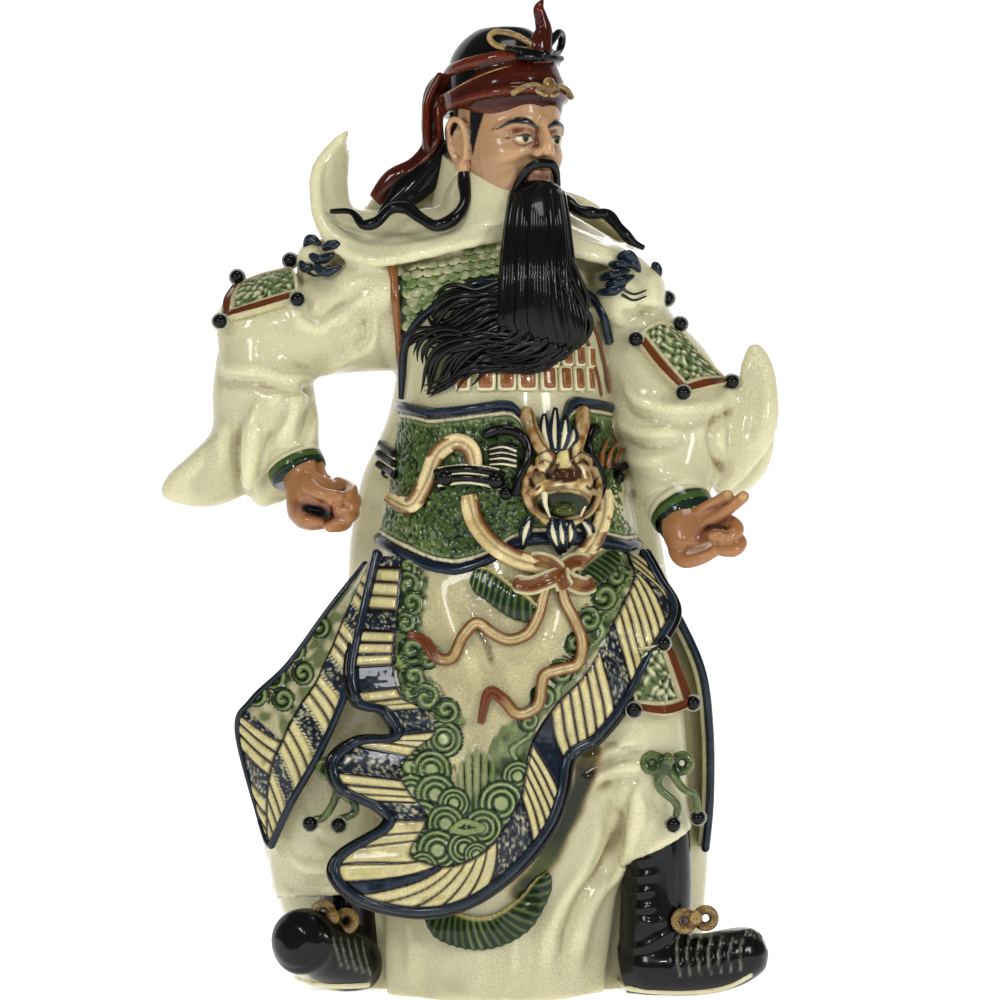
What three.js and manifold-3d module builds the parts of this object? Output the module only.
// A robed warrior general in crackle-glazed stoneware, modelled as the one fired piece that it is.
// +X is the viewer's right, -Y points at the viewer, +Z is up. Lengths are in millimetres. The general turns
// a little to the viewer's right: "near" names what lies on that side, and "far" what lies on the other.
import * as THREE from "three";
import { mergeVertices } from "three/addons/utils/BufferGeometryUtils.js";
import Module from "manifold-3d";

const wasm = await Module();
wasm.setup();

// Driving dimensions.
const statueHeight = 800; // ground to the tip of the flame on the cap
const clothThickness = 7; // free edges of the apron, coat tails, scarf and sleeves
const pearlDiameter = 13; // pearls at the corners of the armour plates
const cordDiameter = 9; // cap cords that lie over the shoulders
const ribbonWidth = 10; // knotted sash ribbon on the apron
const ribbonThickness = 6;
const pipingDiameter = 7; // rolled edges of the apron, coat and belt
const tieDiameter = 7; // bows and loops of the knee and boot ties
const lockDiameter = 10; // locks of the beard and of the beasts' manes
const fingerDiameter = 14;
const gripDiameter = 13; // hole through the right fist, for the shaft of a separate weapon
const facets = 9600; // triangles that the finished skin may take

// The pose and carving are written in thousandths of the statue's height.
const share = statueHeight / 1000;
const cloth = clothThickness / share;
const pearl = pearlDiameter / 2 / share;
const cord = cordDiameter / 2 / share;
const piping = pipingDiameter / 2 / share;
const tie = tieDiameter / 2 / share;
const lock = lockDiameter / 2 / share;
const finger = fingerDiameter / 2 / share;

// A row of numbers at t, from 0 to 1, on a smooth curve through the rows given.
function between(rows, t) {
  const last = rows.length - 1;
  const at = Math.min(Math.max(t, 0), 1) * last;
  const i = Math.min(Math.floor(at), last - 1);
  const f = at - i;
  const [a, b, c, d] = [i - 1, i, i + 1, i + 2].map((k) => rows[Math.min(Math.max(k, 0), last)]);
  return b.map((_, k) => {
    const leave = ((c[k] - a[k]) / 2) * (f ** 3 - 2 * f ** 2 + f);
    const arrive = ((d[k] - b[k]) / 2) * (f ** 3 - f ** 2);
    return b[k] + (c[k] - b[k]) * (3 * f ** 2 - 2 * f ** 3) + leave + arrive;
  });
}

function geometryOf(points, index) {
  const geometry = new THREE.BufferGeometry().setFromPoints(points.map((p) => p.clone().multiplyScalar(share)));
  return geometry.setIndex(index);
}

// Closed skin over rings of equally many points, with a flat end on the first and the last.
function skin(rings) {
  const around = rings[0].length;
  const points = rings.flat();
  const index = [];
  for (let i = 0; i < rings.length - 1; i++)
    for (let k = 0; k < around; k++) {
      const a = i * around + k;
      const b = i * around + ((k + 1) % around);
      index.push(a, b, a + around, b, b + around, a + around);
    }
  const end = (rings.length - 1) * around;
  for (let k = 1; k < around - 1; k++) {
    index.push(0, k + 1, k);
    index.push(end, end + k, end + k + 1);
  }
  return geometryOf(points, index);
}

// A limb through stations [x, y, z, halfWidth, halfDepth]. side is the direction of the half width, and the
// rings of a level limb stay horizontal however it leans.
function limb(stations, { side = [1, 0, 0], around = 16, steps = 3, level = false, fold = () => 1 } = {}) {
  const count = (stations.length - 1) * steps;
  const rings = Array.from({ length: count + 1 }, (_, i) => {
    const t = i / count;
    const [x, y, z, width, depth] = between(stations, t);
    const ahead = between(stations, t + 0.01);
    const behind = between(stations, t - 0.01);
    const run = new THREE.Vector3(...ahead).sub(new THREE.Vector3(...behind)).normalize();
    if (level) run.set(0, 0, Math.sign(run.z));
    const across = new THREE.Vector3(...side);
    across.addScaledVector(run, -across.dot(run)).normalize();
    const out = new THREE.Vector3().crossVectors(run, across);
    return Array.from({ length: around }, (_, k) => {
      const angle = (2 * Math.PI * k) / around;
      const swell = fold(angle, t);
      return new THREE.Vector3(x, y, z)
        .addScaledVector(across, width * swell * Math.cos(angle))
        .addScaledVector(out, depth * swell * Math.sin(angle));
    });
  });
  return skin(rings);
}

// A slab of cloth through rows of control points, thickened to both sides of its middle surface.
function sheet(rows, { thickness = cloth, down = 3, across = 3 } = {}) {
  const countDown = (rows.length - 1) * down;
  const countAcross = (rows[0].length - 1) * across;
  const at = (u, v) => new THREE.Vector3(...between(rows.map((row) => between(row, v)), u));
  const faces = [[], []];
  for (let i = 0; i <= countDown; i++)
    for (let j = 0; j <= countAcross; j++) {
      const [u, v] = [i / countDown, j / countAcross];
      const along = at(u + 0.01, v).sub(at(u - 0.01, v));
      const over = at(u, v + 0.01).sub(at(u, v - 0.01));
      const normal = along.cross(over).normalize().multiplyScalar(thickness / 2);
      faces[0].push(at(u, v).add(normal));
      faces[1].push(at(u, v).sub(normal));
    }
  const wide = countAcross + 1;
  const half = faces[0].length;
  const index = [];
  const quad = (a, b, c, d) => index.push(a, b, c, a, c, d);
  for (let i = 0; i < countDown; i++)
    for (let j = 0; j < countAcross; j++) {
      const a = i * wide + j;
      quad(a, a + wide, a + wide + 1, a + 1);
      quad(half + a, half + a + 1, half + a + wide + 1, half + a + wide);
    }
  for (let i = 0; i < countDown; i++)
    for (const [a, b] of [[i * wide, (i + 1) * wide], [(i + 1) * wide + countAcross, i * wide + countAcross]])
      quad(a, half + a, half + b, b);
  for (let j = 0; j < countAcross; j++)
    for (const [a, b] of [[j + 1, j], [countDown * wide + j, countDown * wide + j + 1]])
      quad(a, half + a, half + b, b);
  return geometryOf(faces.flat(), index);
}

function ball([x, y, z], [width, depth, height], [around, up] = [10, 8]) {
  return new THREE.SphereGeometry(1, around, up)
    .rotateX(Math.PI / 2)
    .scale(width * share, depth * share, height * share)
    .translate(x * share, y * share, z * share);
}

const bead = (place, radius = pearl) =>
  new THREE.IcosahedronGeometry(radius * 1.08 * share, 0).translate(...place.map((n) => n * share));
const rope = (path, radius, options) =>
  limb(path.map((p) => [...p, radius, radius]), { around: 6, steps: 3, ...options });
const turned = (parts, angle, [x, y, z]) =>
  parts.map((part) => part.rotateZ(angle).translate(x * share, y * share, z * share));

// A closed solid of a geometry, whichever way its faces were wound.
function solidOf(geometry) {
  const bare = new THREE.BufferGeometry().setAttribute("position", geometry.getAttribute("position"));
  bare.setIndex(geometry.index);
  const merged = mergeVertices(bare, 1e-3);
  const vertProperties = merged.getAttribute("position").array;
  const flat = merged.index ? merged.index.array : [...Array(vertProperties.length / 3).keys()];
  const found = [];
  for (let i = 0; i < flat.length; i += 3) {
    const [a, b, c] = flat.slice(i, i + 3);
    if (a !== b && b !== c && c !== a) found.push(a, b, c);
  }
  const make = (triVerts) => new wasm.Manifold(new wasm.Mesh({ numProp: 3, vertProperties, triVerts }));
  const made = make(new Uint32Array(found));
  return made.volume() > 0 ? made : make(new Uint32Array(found.reverse()));
}

const joined = (parts) => parts.map(solidOf).reduce((whole, next) => whole.add(next));

// The outer skin of a solid as a geometry: pockets that its parts close off between them are filled with clay.
function outerSkin(solid) {
  const { numProp, vertProperties, triVerts } = solid.getMesh();
  const root = Array.from({ length: vertProperties.length / numProp }, (_, i) => i);
  const find = (i) => {
    while (root[i] !== i) i = root[i] = root[root[i]];
    return i;
  };
  for (let i = 0; i < triVerts.length; i += 3) {
    root[find(triVerts[i])] = find(triVerts[i + 1]);
    root[find(triVerts[i + 2])] = find(triVerts[i + 1]);
  }
  const sizes = new Map();
  for (const v of triVerts) sizes.set(find(v), (sizes.get(find(v)) ?? 0) + 1);
  const [outer] = [...sizes].sort((a, b) => b[1] - a[1])[0];
  const points = [];
  for (let i = 0; i < vertProperties.length; i += numProp)
    points.push(new THREE.Vector3(...vertProperties.slice(i, i + 3)));
  const index = Array.from(triVerts).filter((v) => find(v) === outer);
  return new THREE.BufferGeometry().setFromPoints(points).setIndex(index);
}

// Quadric of the plane of a triangle, weighted by its area: the ten numbers of a symmetric 4 x 4 matrix.
function planeQuadric([a, b, c]) {
  const normal = new THREE.Vector3().crossVectors(b.clone().sub(a), c.clone().sub(a));
  const area = normal.length() || 1e-9;
  const { x, y, z } = normal.divideScalar(area);
  const d = -normal.dot(a);
  return [x * x, x * y, x * z, x * d, y * y, y * z, y * d, z * z, z * d, d * d].map((n) => n * area);
}
const quadricAt = (q, { x, y, z }) =>
  q[0] * x * x + q[4] * y * y + q[7] * z * z + q[9] +
  2 * (q[1] * x * y + q[2] * x * z + q[3] * x + q[5] * y * z + q[6] * y + q[8] * z);

// The same closed skin with about the wanted count of triangles: the edge that changes the form least is
// closed up first, and no edge is whose closing would fold a triangle over or pinch the skin.
function thinned(geometry, wanted) {
  const position = geometry.getAttribute("position");
  const points = Array.from({ length: position.count }, (_, i) => new THREE.Vector3().fromBufferAttribute(position, i));
  const faces = [];
  for (let i = 0; i < geometry.index.count; i += 3) faces.push(Array.from(geometry.index.array.slice(i, i + 3)));
  const around = points.map(() => new Set());
  faces.forEach((face, i) => face.forEach((v) => around[v].add(i)));
  const quadrics = points.map(() => new Array(10).fill(0));
  for (const face of faces) {
    const q = planeQuadric(face.map((v) => points[v]));
    for (const v of face) q.forEach((n, k) => (quadrics[v][k] += n));
  }
  const neighbours = (v) => new Set([...around[v]].flatMap((i) => faces[i]).filter((other) => other !== v));
  const plan = (a, b) => {
    const q = quadrics[a].map((n, k) => n + quadrics[b][k]);
    const spots = [points[a], points[b], points[a].clone().lerp(points[b], 0.5)];
    const costs = spots.map((spot) => Math.max(quadricAt(q, spot), 0));
    const best = costs.indexOf(Math.min(...costs));
    return { a, b, spot: spots[best], cost: costs[best] + 1e-4 * points[a].distanceToSquared(points[b]) };
  };
  const turns = (v, gone, spot) =>
    [...around[v]].some((i) => {
      if (faces[i].includes(gone)) return false;
      const before = new THREE.Triangle(...faces[i].map((n) => points[n]));
      const after = new THREE.Triangle(...faces[i].map((n) => (n === v ? spot : points[n])));
      const [was, now] = [before.getNormal(new THREE.Vector3()), after.getNormal(new THREE.Vector3())];
      const longest = Math.max(after.a.distanceTo(after.b), after.b.distanceTo(after.c), after.c.distanceTo(after.a));
      const thin = after.getArea() < 0.02 * longest ** 2 && after.getArea() < before.getArea();
      return thin || (before.getArea() > 1e-3 && was.dot(now) < 0.35);
    });
  let left = faces.length;
  while (left > wanted) {
    const edges = [];
    for (let a = 0; a < points.length; a++) for (const b of neighbours(a)) if (a < b) edges.push(plan(a, b));
    edges.sort((e, f) => e.cost - f.cost);
    const touched = new Set();
    const round = Math.max(200, Math.floor(edges.length / 12));
    const before = left;
    for (const { a, b, spot } of edges.slice(0, round)) {
      if (left <= wanted) break;
      const [nearA, nearB] = [neighbours(a), neighbours(b)];
      if ([a, b, ...nearA, ...nearB].some((v) => touched.has(v))) continue;
      const shared = [...around[a]].filter((i) => around[b].has(i));
      const common = [...nearA].filter((v) => nearB.has(v));
      if (shared.length !== 2 || common.length !== 2) continue;
      if (turns(a, b, spot) || turns(b, a, spot)) continue;
      points[a] = spot.clone();
      quadrics[a] = quadrics[a].map((n, k) => n + quadrics[b][k]);
      for (const i of shared) for (const v of faces[i]) around[v].delete(i);
      for (const i of around[b]) {
        faces[i] = faces[i].map((v) => (v === b ? a : v));
        around[a].add(i);
      }
      around[b].clear();
      for (const i of shared) faces[i] = null;
      left -= 2;
      touched.add(a).add(b);
      for (const v of common) touched.add(v);
    }
    if (left === before) break;
  }
  const kept = faces.filter(Boolean);
  const used = [...new Set(kept.flat())];
  const place = new Map(used.map((v, i) => [v, i]));
  return new THREE.BufferGeometry()
    .setFromPoints(used.map((v) => points[v]))
    .setIndex(kept.flat().map((v) => place.get(v)));
}

// Points [x, z, lift] in the front view, laid on the front of the parts already made.
function laidOn(target, path) {
  const ray = new THREE.Raycaster();
  const towards = new THREE.Vector3(0, 1, 0);
  return path.map(([x, z, lift = 0]) => {
    ray.set(new THREE.Vector3(x * share, -statueHeight, z * share), towards);
    const [hit] = ray.intersectObject(target);
    return [x, (hit ? hit.point.y / share : 0) - lift, z];
  });
}

// Trunk, from the hips to the neck.
const trunk = [
  [40, 6, 393, 133, 102],
  [40, 0, 480, 133, 108],
  [38, 2, 561, 118, 100],
  [36, 4, 623, 108, 95],
  [34, 8, 694, 108, 88],
  [30, 14, 756, 94, 68],
  [30, 16, 792, 57, 49],
  [34, 10, 827, 41, 43],
];

// The robe that hangs behind the legs to the ground.
const robe = [
  [21, 62, -5, 222, 86],
  [19, 62, 54, 228, 88],
  [14, 60, 108, 234, 90],
  [8, 56, 190, 244, 92],
  [8, 54, 257, 244, 90],
  [30, 48, 329, 208, 88],
  [39, 42, 397, 170, 87],
  [37, 36, 459, 160, 84],
  [36, 30, 521, 147, 82],
  [37, 26, 592, 119, 78],
  [34, 20, 695, 101, 66],
];
const robeFold = (angle, t) => 1 + 0.05 * (1 - t) * Math.max(Math.sin(angle), 0) * Math.sin(14 * angle + 1);

// The inner skirt that falls to the ground between the boots.
const skirt = [
  [24, -14, -5, 108, 77],
  [26, -14, 43, 112, 75],
  [31, -12, 104, 118, 75],
  [42, -10, 195, 134, 83],
  [50, -4, 286, 149, 92],
  [44, 2, 378, 137, 98],
  [40, 4, 449, 123, 92],
];
const skirtFold = (angle, t) => 1 + 0.05 * (1 - t) * Math.cos(7 * angle + 0.6);

const nearLeg = [
  [150, -10, 347, 57, 61],
  [160, -26, 287, 57, 61],
  [166, -30, 237, 55, 55],
  [172, -26, 191, 51, 49],
  [190, -22, 151, 41, 41],
];
const farLeg = [
  [-62, -6, 358, 69, 56],
  [-110, -12, 287, 69, 50],
  [-142, -14, 227, 68, 46],
  [-152, -12, 171, 58, 46],
  [-155, -8, 135, 50, 44],
  [-153, -6, 100, 46, 42],
];

// Folds pressed into the cloth: behind the knee, down the inner skirt and under the arm.
const creases = [
  [[138, 262, 0, 10], [160, 253, 0, 9], [178, 248, 0, 5]],
  [[118, 248, 0, 11], [140, 238, 0, 10], [168, 244, 0, 6]],
  [[150, 222, 2, 12], [156, 170, 2, 13], [136, 122, 2, 12], [112, 92, 0, 11], [92, 52, 0, 10], [88, 14, 0, 8]],
  [[60, 110, 0, 8], [48, 70, 0, 11], [44, 14, 0, 10]],
  [[-62, 88, 0, 8], [-56, 50, 0, 11], [-58, 12, 0, 10]],
  [[-196, 150, 0, 8], [-186, 128, 0, 10], [-160, 118, 0, 10], [-134, 126, 0, 7]],
];

// Boots: a shaft, then a foot that ends in a turned-up toe.
const nearShaft = [
  [192, -22, 168, 34, 33],
  [190, -22, 105, 36, 35],
  [188, -24, 34, 37, 38],
];
const nearFoot = [
  [156, -22, 24, 24, 26],
  [180, -26, 28, 36, 34],
  [212, -34, 28, 36, 32],
  [242, -42, 32, 33, 31],
  [264, -48, 39, 31, 31],
  [280, -52, 43, 26, 28],
  [291, -54, 46, 18, 20],
  [297, -55, 48, 8, 9],
];
const farShaft = [
  [-123, 0, 143, 29, 31],
  [-123, 2, 92, 30, 31],
  [-121, 4, 20, 31, 35],
];
const farFoot = [
  [-103, 14, 13, 25, 20],
  [-119, 0, 23, 35, 31],
  [-136, -22, 36, 38, 33],
  [-158, -44, 50, 37, 34],
  [-168, -60, 57, 35, 33],
  [-173, -70, 59, 27, 26],
  [-176, -77, 60, 13, 13],
];

// Right arm, on the viewer's left: it reaches sideways, and the forearm hangs in a wide sleeve.
const farUpperArm = [
  [-52, 6, 694, 47, 63],
  [-103, 4, 688, 49, 59],
  [-154, 2, 678, 51, 53],
  [-200, 0, 670, 49, 50],
  [-237, 0, 665, 41, 43],
  [-256, 0, 663, 18, 27],
];
const farForearm = [
  [-213, -2, 653, 43, 47],
  [-204, -8, 612, 46, 47],
  [-189, -20, 576, 38, 39],
  [-175, -32, 549, 29, 30],
  [-170, -38, 530, 26, 26],
];
const farSleeve = [
  [-215, 4, 648, 43, 43],
  [-217, 8, 607, 46, 43],
  [-233, 10, 570, 31, 36],
  [-247, 14, 545, 40, 30],
  [-261, 18, 525, 48, 26],
  [-270, 20, 510, 47, 22],
  [-276, 20, 499, 37, 16],
  [-274, 20, 491, 12, 7],
];
const farSleeveFolds = [
  [[-219, -30, 583, 15, 14], [-214, -42, 560, 17, 14], [-217, -40, 535, 15, 12], [-227, -28, 512, 7, 7]],
  [[-202, -34, 623, 20, 14], [-187, -46, 601, 24, 14], [-179, -46, 581, 16, 10]],
  [[-195, 12, 536, 23, 25], [-204, 18, 508, 23, 23], [-200, 18, 494, 12, 12]],
];
// Left arm, on the viewer's right: it drops, and the forearm comes forward.
const nearArm = [
  [134, 10, 751, 34, 40],
  [150, 10, 710, 41, 50],
  [168, 6, 664, 47, 54],
  [197, 0, 610, 60, 57],
  [207, -16, 561, 55, 51],
  [208, -36, 522, 44, 42],
  [213, -56, 494, 33, 32],
];
const nearSleeve = [
  [[254, -14, 512, 12, 12], [271, -22, 549, 26, 14], [286, -20, 581, 28, 15], [292, -14, 610, 22, 14],
    [292, -8, 639, 16, 11], [289, -4, 658, 6, 6]],
  [[251, 4, 512, 16, 14], [278, 12, 527, 20, 18], [296, 14, 551, 16, 16], [304, 14, 576, 7, 8]],
  [[171, -44, 613, 16, 14], [197, -58, 596, 24, 16], [237, -52, 599, 20, 14], [265, -30, 613, 8, 8]],
];

// Scarf: a broad collar over the shoulders, with one corner turned up beside the head.
const farScarf = [
  [[60, -62, 769], [56, -44, 792], [40, -16, 811]],
  [[10, -80, 759], [-0, -50, 784], [-9, -14, 802]],
  [[-40, -76, 748], [-43, -44, 772], [-52, 0, 800]],
  [[-92, -66, 740], [-91, -32, 767], [-95, 12, 799]],
  [[-133, -48, 752], [-124, -22, 776], [-116, 18, 801]],
  [[-158, -26, 790], [-145, -14, 801], [-120, 20, 820]],
  [[-165, -6, 832], [-147, -6, 840], [-120, 22, 855]],
  [[-148, 6, 862], [-135, 4, 864], [-123, 12, 868]],
  [[-129, 10, 878], [-125, 9, 880], [-123, 9, 879]],
];
const farScarfBack = [
  [[-53, 44, 799], [-52, 8, 803]],
  [[-113, 46, 800], [-115, 14, 797]],
  [[-127, 42, 828], [-128, 14, 813]],
  [[-118, 36, 859], [-126, 18, 849]],
];
const nearScarf = [
  [[66, -66, 760], [66, -50, 788], [62, -20, 806]],
  [[102, -78, 749], [104, -50, 774], [103, -14, 792]],
  [[134, -70, 742], [139, -42, 760], [140, -4, 771]],
  [[165, -52, 736], [169, -28, 747], [168, 4, 754]],
  [[182, -30, 734], [184, -16, 738], [183, 4, 741]],
];
const collar = [
  [34, -2, 775, 78, 76],
  [34, -2, 796, 60, 62],
  [36, -4, 816, 46, 50],
];

// The scarf behind the shoulders, with the back of its folds.
const scarfBack = [
  [[-100, 16, 796], [-104, 44, 782], [-98, 66, 738]],
  [[-52, 26, 808], [-52, 66, 784], [-50, 88, 716]],
  [[34, 40, 818], [34, 84, 780], [34, 104, 690]],
  [[110, 26, 800], [114, 68, 776], [114, 90, 712]],
  [[166, 6, 752], [169, 40, 744], [165, 62, 720]],
];
const beltRing = [
  [37, -2, 494, 138, 107],
  [37, -3, 508, 141, 109],
  [36, -2, 570, 126, 101],
  [36, -2, 584, 121, 96],
];

// Front apron: the field inside the border, then the border that runs down, round and up again.
const apronField = [
  [[-66, -78, 428], [-10, -106, 429], [60, -112, 429], [125, -88, 430], [171, -36, 433]],
  [[-75, -88, 386], [-14, -122, 382], [50, -128, 377], [104, -112, 379], [146, -76, 392]],
  [[-73, -98, 321], [-19, -130, 318], [40, -138, 314], [79, -130, 315], [107, -112, 324]],
  [[-51, -112, 265], [-14, -134, 262], [20, -142, 263], [48, -138, 263], [65, -128, 266]],
  [[-57, -116, 209], [-24, -136, 208], [6, -144, 206], [35, -142, 206], [56, -134, 209]],
  [[-53, -128, 146], [-29, -138, 144], [-9, -144, 144], [6, -144, 144], [18, -140, 147]],
];
const apronOuter = [
  [-91, -62, 445], [-107, -78, 380], [-116, -92, 331], [-108, -100, 300], [-81, -116, 292],
  [-70, -124, 268], [-106, -108, 262], [-132, -110, 243], [-125, -116, 216], [-86, -126, 197],
  [-78, -130, 180], [-122, -122, 152], [-130, -126, 130], [-102, -134, 107], [-46, -144, 98],
  [1, -146, 109], [45, -142, 140], [77, -134, 178], [95, -124, 219], [99, -118, 249],
  [126, -106, 266], [155, -86, 301], [174, -62, 340], [205, -24, 388], [186, -26, 421], [174, -32, 446],
];
const apronInner = [
  [-66, -78, 445], [-72, -94, 379], [-75, -102, 334], [-66, -112, 306], [-47, -122, 295],
  [-33, -130, 272], [-53, -126, 254], [-68, -126, 234], [-58, -132, 213], [-45, -136, 198],
  [-42, -138, 182], [-54, -138, 163], [-56, -140, 151], [-38, -144, 144], [-19, -146, 142],
  [5, -148, 150], [28, -146, 169], [50, -140, 204], [57, -136, 237], [65, -130, 266],
  [87, -120, 299], [117, -104, 330], [141, -86, 373], [167, -52, 418], [167, -46, 432], [161, -42, 447],
];

// Coat tail on the viewer's left, with its corner hanging down, and the coat's edge on the right.
const farTail = [
  [[-93, -66, 447], [-98, -56, 442], [-105, -40, 435]],
  [[-108, -80, 380], [-124, -70, 386], [-140, -46, 391]],
  [[-122, -88, 312], [-152, -76, 325], [-182, -50, 334]],
  [[-148, -88, 250], [-184, -74, 278], [-219, -46, 298]],
  [[-178, -76, 197], [-205, -62, 228], [-234, -38, 266]],
  [[-199, -58, 152], [-204, -52, 158], [-211, -40, 176]],
];
const nearTail = [
  [[178, -30, 439], [200, 20, 434]],
  [[208, -26, 387], [215, 30, 381]],
  [[235, -22, 328], [236, 36, 325]],
  [[244, -14, 266], [247, 40, 263]],
  [[245, -8, 195], [247, 44, 190]],
  [[241, 0, 143], [243, 46, 138]],
];

// Belt: a broad wrap whose lower edge dips into two lobes. Columns of [x, z] from the top edge down.
const beltFar = [
  [[-65, 596], [-67, 540], [-79, 500], [-93, 462]],
  [[-39, 591], [-41, 540], [-53, 480], [-65, 449]],
  [[-10, 589], [-10, 530], [-14, 470], [-25, 433]],
  [[25, 593], [18, 530], [14, 470], [10, 429]],
  [[55, 591], [48, 530], [44, 480], [38, 445]],
];
const beltNear = [
  [[104, 599], [108, 540], [121, 500], [131, 452]],
  [[127, 605], [133, 550], [145, 500], [151, 446]],
  [[143, 601], [153, 550], [163, 500], [167, 450]],
];
const beltLift = 5;

// Chest: rolled edges of the cuirass, its shoulder strap and the row of scale plates above the belt.
const chestRolls = [
  [[28, 718], [6, 716], [-14, 707], [-29, 697], [-49, 681], [-61, 664], [-66, 644], [-67, 605]],
  [[114, 709], [126, 699], [134, 684], [140, 659]],
];
const strap = [[-77, 732], [-74, 699], [-72, 670], [-69, 630]];
const scaleRow = [[-4, 621], [21, 621], [44, 620], [67, 619], [89, 619], [109, 620]];

const face = [
  [0, -40, -68, 18, 16],
  [0, -26, -54, 36, 34],
  [0, -12, -34, 46, 50],
  [0, -5, -8, 50, 58],
  [0, -1, 24, 51, 61],
  [0, 3, 60, 50, 58],
];
const headPlace = [37, -14, 858];
const headTurn = THREE.MathUtils.degToRad(36);

// Head and cap, in their own frame, facing -Y.
function headParts() {
  const cap = limb(
    [[0, 6, 60, 55, 62], [0, 7, 88, 52, 58], [0, 8, 108, 41, 46], [0, 9, 119, 26, 30], [0, 9, 124, 9, 10]],
    { around: 20, steps: 2 },
  );
  const band = limb(
    [[0, -1, 32, 53, 63], [0, -2, 36, 59, 69], [0, -2, 58, 60, 70], [0, -1, 72, 57, 66], [0, 0, 78, 50, 60]],
    { around: 24, steps: 1 },
  ).rotateX(-0.16);
  const roll = new THREE.TorusGeometry(48 * share, 9 * share, 8, 24)
    .scale(1, 1.12, 1.1)
    .rotateX(-0.3)
    .translate(0, 6 * share, 82 * share);
  const nose = limb(
    [[0, -58, 26, 5, 5], [0, -62, 10, 7, 9], [0, -66, -8, 11, 9], [0, -58, -15, 8, 5]],
    { around: 8, steps: 2 },
  );
  const sides = [-1, 1].flatMap((s) => [
    ball([s * 53, 6, 2], [7, 13, 24]),
    ball([s * 52, 2, -24], [6, 9, 13], [8, 6]),
    ball([s * 20, -53, 5], [10, 6, 5], [8, 6]),
    rope([[s * 8, -61, 15], [s * 22, -58, 19], [s * 36, -47, 15]], 3.5, { around: 5, steps: 2 }),
    rope([[0, -62, -22], [s * 14, -60, -26], [s * 27, -50, -38], [s * 31, -48, -60], [s * 28, -50, -78]], 5),
  ]);
  const lips = ball([0, -55, -35], [13, 7, 5], [8, 6]);
  const flame = limb(
    [[4, -54, 84, 14, 11], [1, -56, 104, 12, 10], [7, -56, 120, 8, 8], [0, -56, 133, 6, 6], [4, -56, 141, 2, 2]],
    { around: 8 },
  );
  const loops = [
    rope([[-6, -54, 94], [-24, -48, 104], [-44, -32, 108], [-53, -20, 100], [-40, -36, 94], [-14, -52, 90]], 5),
    rope([[6, -54, 94], [20, -54, 106], [34, -46, 110], [40, -36, 102], [30, -46, 92], [10, -54, 88]], 5),
  ];
  const jewel = ball([0, -71, 62], [9, 6, 9], [8, 6]);
  return [limb(face, { around: 20, steps: 3 }), cap, band, roll, nose, ...sides, lips, flame, ...loops, jewel];
}

const beard = [
  [68, -58, 807, 28, 20],
  [68, -80, 775, 33, 22],
  [68, -96, 738, 37, 22],
  [69, -102, 703, 41, 20],
  [72, -106, 673, 43, 16],
  [83, -108, 653, 30, 10],
];
const beardRidges = [-26, -13, 0, 13, 26].map((offset) => [
  [68 + offset * 0.8, 796, 3], [68 + offset, 760, 4], [68 + offset * 1.15, 715, 4], [70 + offset * 1.3, 668, 3],
]);
// Locks that the wind carries to one side: rows of [x, z, lift].
const beardLocks = [
  [[91, 697, 8], [60, 687, 14], [30, 691, 14], [6, 699, 10], [-7, 703, 5]],
  [[95, 683, 8], [62, 673, 15], [28, 679, 14], [0, 683, 12], [-27, 673, 5]],
  [[99, 672, 8], [60, 660, 14], [24, 662, 14], [-7, 662, 12], [-31, 650, 8], [-41, 636, 4]],
  [[91, 658, 8], [56, 650, 12], [20, 646, 14], [-9, 640, 12], [-27, 626, 8], [-41, 608, 4]],
  [[75, 650, 6], [44, 644, 10], [14, 636, 10], [-5, 626, 6]],
];

// Cap cords over the shoulders.
const farCord = [[-7, -40, 839], [-5, -50, 820], [-4, -60, 799], [-14, -70, 782], [-32, -70, 774],
  [-48, -62, 782], [-63, -50, 793], [-79, -46, 792], [-93, -50, 779], [-107, -46, 777], [-119, -36, 790],
  [-140, -26, 791]];
const nearCord = [[95, -36, 805], [108, -48, 792], [125, -46, 788], [139, -38, 787], [151, -40, 774],
  [163, -38, 761], [176, -32, 754]];
const neck = [
  [22, 10, 780, 70, 52],
  [18, 8, 815, 54, 46],
  [22, 4, 850, 50, 48],
  [30, 0, 885, 46, 48],
];
// Ribbon tails of the cap, behind the ear.
const capTail = [[-21, 0, 939, 10, 8], [-36, 4, 915, 12, 9], [-37, 6, 884, 12, 9], [-38, 8, 858, 12, 9],
  [-56, 10, 838, 12, 9], [-82, 12, 823, 13, 9], [-99, 14, 803, 8, 6]];
const capTassel = [[-29, 0, 841, 8, 6], [-48, 0, 822, 16, 9], [-68, 0, 808, 16, 9], [-84, 2, 798, 7, 5]];

// Armour plates on the upper arms and the knee, then the pearls at their corners.
const farPlate = [
  [[-171, -48, 703], [-174, -28, 727], [-182, 4, 737]],
  [[-250, -46, 681], [-249, -30, 700], [-240, 4, 719]],
];
const nearPlate = [
  [[165, -54, 663], [185, -40, 678], [209, -6, 675]],
  [[188, -64, 632], [213, -46, 649], [238, -8, 642]],
  [[214, -68, 606], [241, -46, 613], [266, -10, 618]],
];
const kneePlate = [
  [[160, -76, 350], [184, -80, 352], [198, -66, 358]],
  [[165, -92, 291], [197, -96, 287], [226, -66, 294]],
];
const pearls = [
  [-250, -54, 679], [-237, 4, 726], [-172, -56, 701], [-183, 6, 743],
  [167, -60, 661], [214, -76, 607], [265, -16, 619], [211, -6, 676], [201, -6, 704],
  [164, -98, 292], [224, -72, 297], [192, -76, 355],
];

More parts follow.
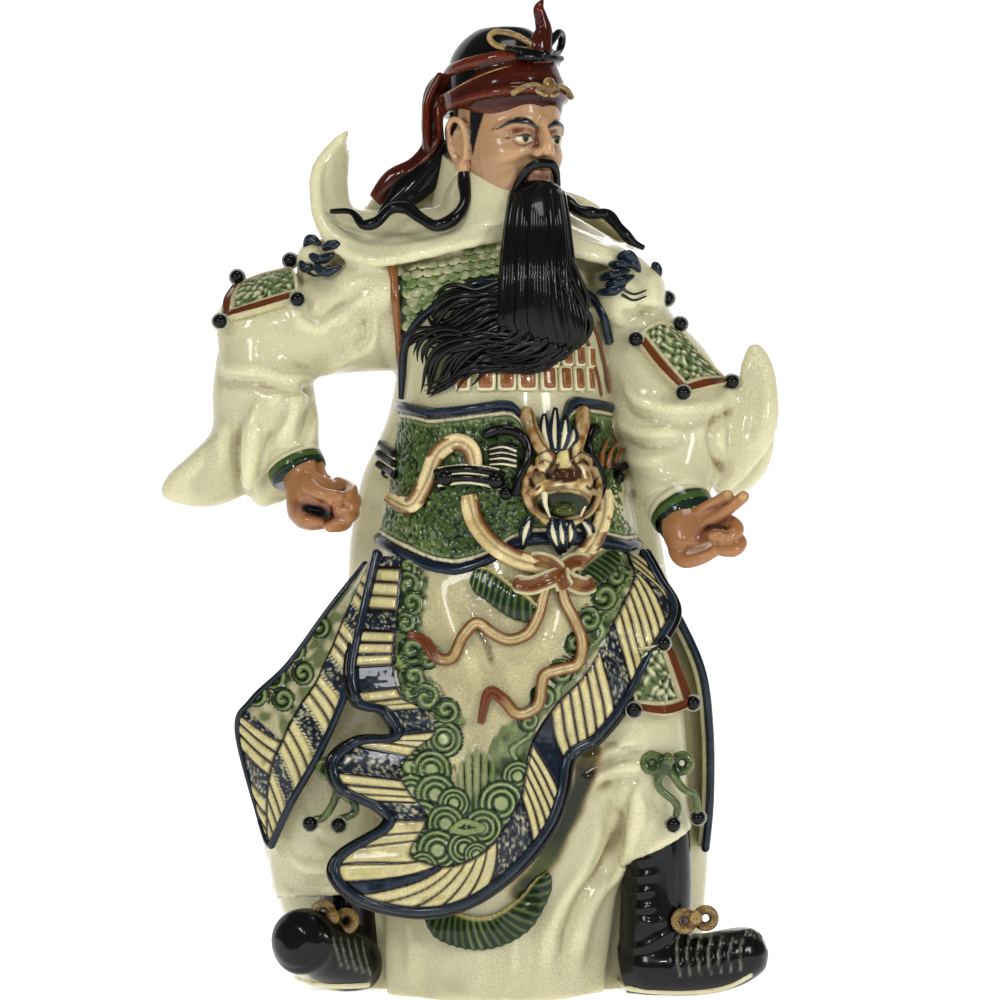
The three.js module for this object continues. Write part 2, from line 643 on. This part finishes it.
// Beast heads on the shoulders: brow and jaw, then the locks of their manes.
const beasts = [
  [[-42, -10, 712], [34, 44, 38]],
  [[-98, -18, 710], [52, 40, 36]],
  [[-152, -8, 738], [16, 20, 16]],
  [[152, -22, 706], [32, 42, 36]],
  [[178, -14, 708], [22, 36, 30]],
];
const manes = [
  [[-167, -14, 760], [-158, -26, 765], [-148, -30, 755]],
  [[-158, -34, 749], [-147, -42, 746], [-135, -40, 748]],
  [[-151, -46, 738], [-143, -50, 731], [-129, -46, 735]],
  [[132, -60, 711], [144, -66, 710], [156, -62, 717]],
  [[136, -60, 723], [148, -64, 726], [160, -60, 729]],
  [[152, -60, 739], [164, -58, 743], [173, -50, 729]],
  [[189, -28, 745], [193, -24, 735], [190, -22, 719]],
];

// Beast mask on the belt: [x, z, lift, width, depth, height].
const maskForms = [
  [86, 547, 8, 22, 14, 26],
  [85, 516, 12, 34, 18, 16],
  [71, 533, 14, 12, 12, 10],
  [103, 533, 14, 12, 12, 10],
  [87, 498, 12, 26, 14, 11],
  [87, 466, 10, 24, 14, 18],
  [85, 575, 6, 15, 10, 24],
  [-21, 522, 8, 10, 10, 10],
  [26, 519, 8, 9, 10, 9],
];
// Loops of the sash that hang from the mask, its knot and its ends.
const sashLoops = [
  [[7, 530, 4], [2, 551, 8], [-13, 557, 10], [-31, 544, 10], [-43, 515, 8], [-59, 494, 8], [-83, 502, 4]],
  [[0, 506, 6], [8, 478, 8], [26, 455, 8], [50, 441, 8], [79, 435, 8]],
  [[133, 526, 4], [139, 498, 8], [133, 468, 8], [119, 447, 8], [97, 435, 8]],
  [[56, 561, 8], [60, 539, 12], [69, 522, 12]],
  [[117, 561, 8], [113, 539, 12], [103, 522, 12]],
];
const sashKnot = [
  [89, 433, 10, 16, 14, 12],
  [60, 417, 10, 20, 12, 13],
  [113, 415, 8, 16, 12, 12],
];
const sashEnds = [
  [[73, 414, 6], [65, 386, 6], [56, 368, 6], [26, 368, 6], [6, 380, 6], [-7, 357, 6], [-25, 345, 6],
    [-43, 363, 6], [-60, 367, 4]],
  [[89, 414, 6], [93, 390, 6], [111, 365, 6], [109, 337, 6], [75, 329, 6], [65, 296, 6], [44, 297, 6],
    [24, 313, 6], [13, 282, 4]],
];

// Cloud scrolls in low relief above the apron's border: [x, z, radius].
const clouds = [[-62, 231, 17], [-33, 187, 18], [-52, 151, 12], [22, 197, 18], [-1, 165, 15]];

// Bows: the loops, the knot, the ends, and a pearl on each end.
const nearKneeTie = {
  loops: [[183, -84, 238], [213, -74, 237]],
  knot: [198, -84, 241],
  ends: [
    [[195, -84, 233], [189, -84, 215], [207, -82, 197], [207, -80, 185]],
    [[199, -82, 233], [213, -80, 213], [226, -70, 204], [229, -66, 188]],
  ],
  pearls: [[204, -82, 178], [230, -62, 181]],
};
const farKneeTie = {
  loops: [[-140, -92, 233], [-117, -98, 212]],
  knot: [-129, -98, 222],
  ends: [
    [[-129, -96, 218], [-135, -94, 198], [-145, -90, 184], [-155, -88, 182]],
    [[-115, -98, 204], [-113, -98, 190], [-129, -98, 183]],
  ],
  pearls: [[-158, -90, 180], [-129, -104, 180]],
};
const bootBows = [
  { loops: [[215, -58, 77], [239, -50, 76]], knot: [229, -56, 80] },
  { loops: [[-147, -44, 83], [-123, -38, 74]], knot: [-137, -44, 79] },
];
const loopRadius = 11;

function bow({ loops, knot, ends = [], pearls: beads = [] }) {
  const rings = loops.map(([x, y, z]) =>
    new THREE.TorusGeometry(loopRadius * share, tieDiameter / 2, 6, 12)
      .rotateX(Math.PI / 2)
      .translate(x * share, y * share, z * share),
  );
  return [...rings, bead(knot, tie * 1.3), ...ends.map((path) => rope(path, tie)), ...beads.map((p) => bead(p))];
}

// Closed fist of the right hand, and the pointing left hand.
const fistPlace = [-150, -50, 500];
function fist() {
  const [x, y, z] = fistPlace;
  const palm = limb(
    [[x - 12, y + 18, z + 36, 23, 22], [x - 6, y + 8, z + 18, 27, 24], [x, y, z - 4, 29, 27], [x + 2, y, z - 28, 15, 18]],
    { around: 12 },
  );
  const thumb = rope([[x - 14, y - 20, z + 20], [x + 4, y - 30, z + 12], [x + 22, y - 28, z + 8]], finger);
  const fingers = [-18, 0, 18].map((back) =>
    rope([[x + 14, y + back, z + 16], [x + 30, y + back - 2, z + 6], [x + 29, y + back - 2, z - 14],
      [x + 8, y + back - 2, z - 25]], finger),
  );
  return [palm, thumb, ...fingers];
}
function gripHole() {
  const [x, y, z] = fistPlace;
  return new THREE.CylinderGeometry(gripDiameter / 2, gripDiameter / 2, 140 * share, 10)
    .translate((x + 3) * share, y * share, (z - 8) * share);
}
const pointingPalm = [[214, -64, 488, 25, 25], [219, -82, 470, 27, 23], [227, -94, 456, 24, 20], [232, -100, 446, 12, 11]];
const pointingFingers = [
  [[223, -92, 478], [244, -100, 494], [264, -106, 506]],
  [[231, -86, 476], [254, -94, 492], [275, -98, 508]],
  [[237, -92, 470], [260, -100, 468], [254, -108, 454], [234, -106, 458]],
  [[243, -86, 462], [266, -94, 456], [260, -102, 443], [242, -100, 444]],
  [[203, -82, 466], [207, -98, 446], [220, -106, 441], [240, -110, 451]],
];

const cuffs = [
  [[-174, -32, 543, 32, 31], [-167, -38, 528, 30, 29]],
  [[215, -60, 500, 35, 33], [219, -68, 486, 33, 31]],
];

// Everything that cloth and ornament lie on.
const body = joined([
  limb(trunk, { around: 28, level: true }),
  limb(robe, { around: 64, steps: 2, level: true, fold: robeFold }),
  limb(skirt, { around: 36, level: true, fold: skirtFold }),
  limb(beltRing, { around: 28, steps: 1 }),
  limb(nearLeg),
  limb(farLeg),
  limb(nearShaft),
  limb(farShaft),
  limb(nearFoot, { side: [0, 1, 0] }),
  limb(farFoot),
  limb(farUpperArm, { side: [0, 1, 0] }),
  limb(farForearm),
  limb(farSleeve, { level: true }),
  ...farSleeveFolds.map((fold) => limb(fold, { around: 10 })),
  limb(nearArm),
  ...nearSleeve.map((fold) => limb(fold, { around: 12 })),
  limb(collar, { around: 20 }),
  limb(neck, { around: 20 }),
  sheet(scarfBack, { thickness: cloth * 2 }),
  sheet(apronField),
  sheet(apronOuter.map((p, i) => [p, apronInner[i]]), { down: 1, across: 1, thickness: cloth * 1.2 }),
  ...beasts.map(([place, radii]) => ball(place, radii)),
]);
const bothSides = new THREE.MeshBasicMaterial({ side: THREE.DoubleSide });
const bodyMesh = new THREE.Mesh(outerSkin(body), bothSides);
const crease = (path) =>
  limb(laidOn(bodyMesh, path).map((p, i) => [...p, path[i][3], path[i][3] * 0.55]), { around: 8 });
const wrapped = (columns) =>
  sheet(columns.map((column) => laidOn(bodyMesh, column.map((p) => [...p, beltLift]))),
    { thickness: cloth * 1.5, down: 2, across: 2 });
const belts = [wrapped(beltFar), wrapped(beltNear)];
const beardGeometry = limb(beard);
const front = new THREE.Group().add(
  bodyMesh, ...[...belts, beardGeometry].map((geometry) => new THREE.Mesh(geometry, bothSides)));

const laidRope = (path, radius, options) => rope(laidOn(front, path), radius, options);
const laidBall = ([x, z, lift, width, depth, height]) => {
  const [place] = laidOn(front, [[x, z, lift - depth / 2]]);
  return ball(place, [width, depth, height], [8, 6]);
};
const ribbon = (path) =>
  limb(laidOn(front, path).map((p) => [...p, ribbonThickness / 2 / share, ribbonWidth / 2 / share]),
    { side: [0, 1, 0], around: 6 });
const beltEdge = (columns, row) => laidRope(columns.map((column) => [...column[row], 2]), piping);
const scale = ([x, z]) => {
  const [[, y]] = laidOn(bodyMesh, [[x, z]]);
  return new THREE.BoxGeometry(18 * share, 14 * share, 22 * share).translate(x * share, y * share, z * share);
};
const cloud = ([x, z, radius]) => {
  const [[, y]] = laidOn(bodyMesh, [[x, z]]);
  return new THREE.TorusGeometry(radius * share, 4 * share, 5, 14)
    .rotateX(Math.PI / 2)
    .translate(x * share, y * share, z * share);
};

const ornaments = joined([
  ...creases.map(crease),
  sheet(farScarf, { thickness: cloth * 1.5 }),
  sheet(farScarfBack),
  sheet(nearScarf, { thickness: cloth * 1.5 }),
  sheet(farTail),
  sheet(nearTail, { across: 1 }),
  rope(apronOuter, piping),
  rope(farTail.map((row) => row[0]), piping),
  rope(nearTail.map((row) => row[0]), piping),
  ...belts,
  ...[0, 3].flatMap((row) => [beltEdge(beltFar, row), beltEdge(beltNear, row)]),
  ...chestRolls.map((path) => laidRope(path, piping)),
  laidRope(strap, piping),
  ...scaleRow.map(scale),
  ...clouds.map(cloud),
  ...[farPlate, nearPlate, kneePlate].map((plate) => sheet(plate, { down: 2, thickness: cloth * 1.2 })),
  ...pearls.map((place) => bead(place)),
  ...manes.map((path) => rope(path, lock)),
  ...cuffs.map((stations) => limb(stations, { steps: 1 })),
  ...fist(),
  limb(pointingPalm, { around: 12 }),
  ...pointingFingers.map((path) => rope(path, finger)),
  ...maskForms.map(laidBall),
  ...sashKnot.map(laidBall),
  ...[...sashLoops, ...sashEnds].map(ribbon),
  ...bow(nearKneeTie),
  ...bow(farKneeTie),
  ...bootBows.flatMap(bow),
  beardGeometry,
  ...beardRidges.map((path) => laidRope(path, lock * 0.7, { around: 5 })),
  ...beardLocks.map((path) => laidRope(path, lock * 1.3)),
  rope(farCord, cord),
  rope(nearCord, cord),
  limb(capTail, { around: 8 }),
  limb(capTassel, { around: 8 }),
  ...turned(headParts(), headTurn, headPlace),
]);

const underGround = new THREE.BoxGeometry(statueHeight, statueHeight, statueHeight)
  .translate(0, 0, -statueHeight / 2);
const statueSolid = body.add(ornaments).subtract(solidOf(gripHole())).subtract(solidOf(underGround));

const glaze = new THREE.MeshStandardMaterial({ color: 0xddd6b4, roughness: 0.28, metalness: 0 });
const statue = new THREE.Mesh(thinned(outerSkin(statueSolid), facets), glaze);
statue.name = "statue";
statue.geometry.computeVertexNormals();

// The origin lies on the ground under the middle of the statue's width and depth.
statue.geometry.computeBoundingBox();
const middle = statue.geometry.boundingBox.getCenter(new THREE.Vector3());
statue.position.set(-middle.x, -middle.y, 0);

const general = new THREE.Group();
general.add(statue);

export default general;
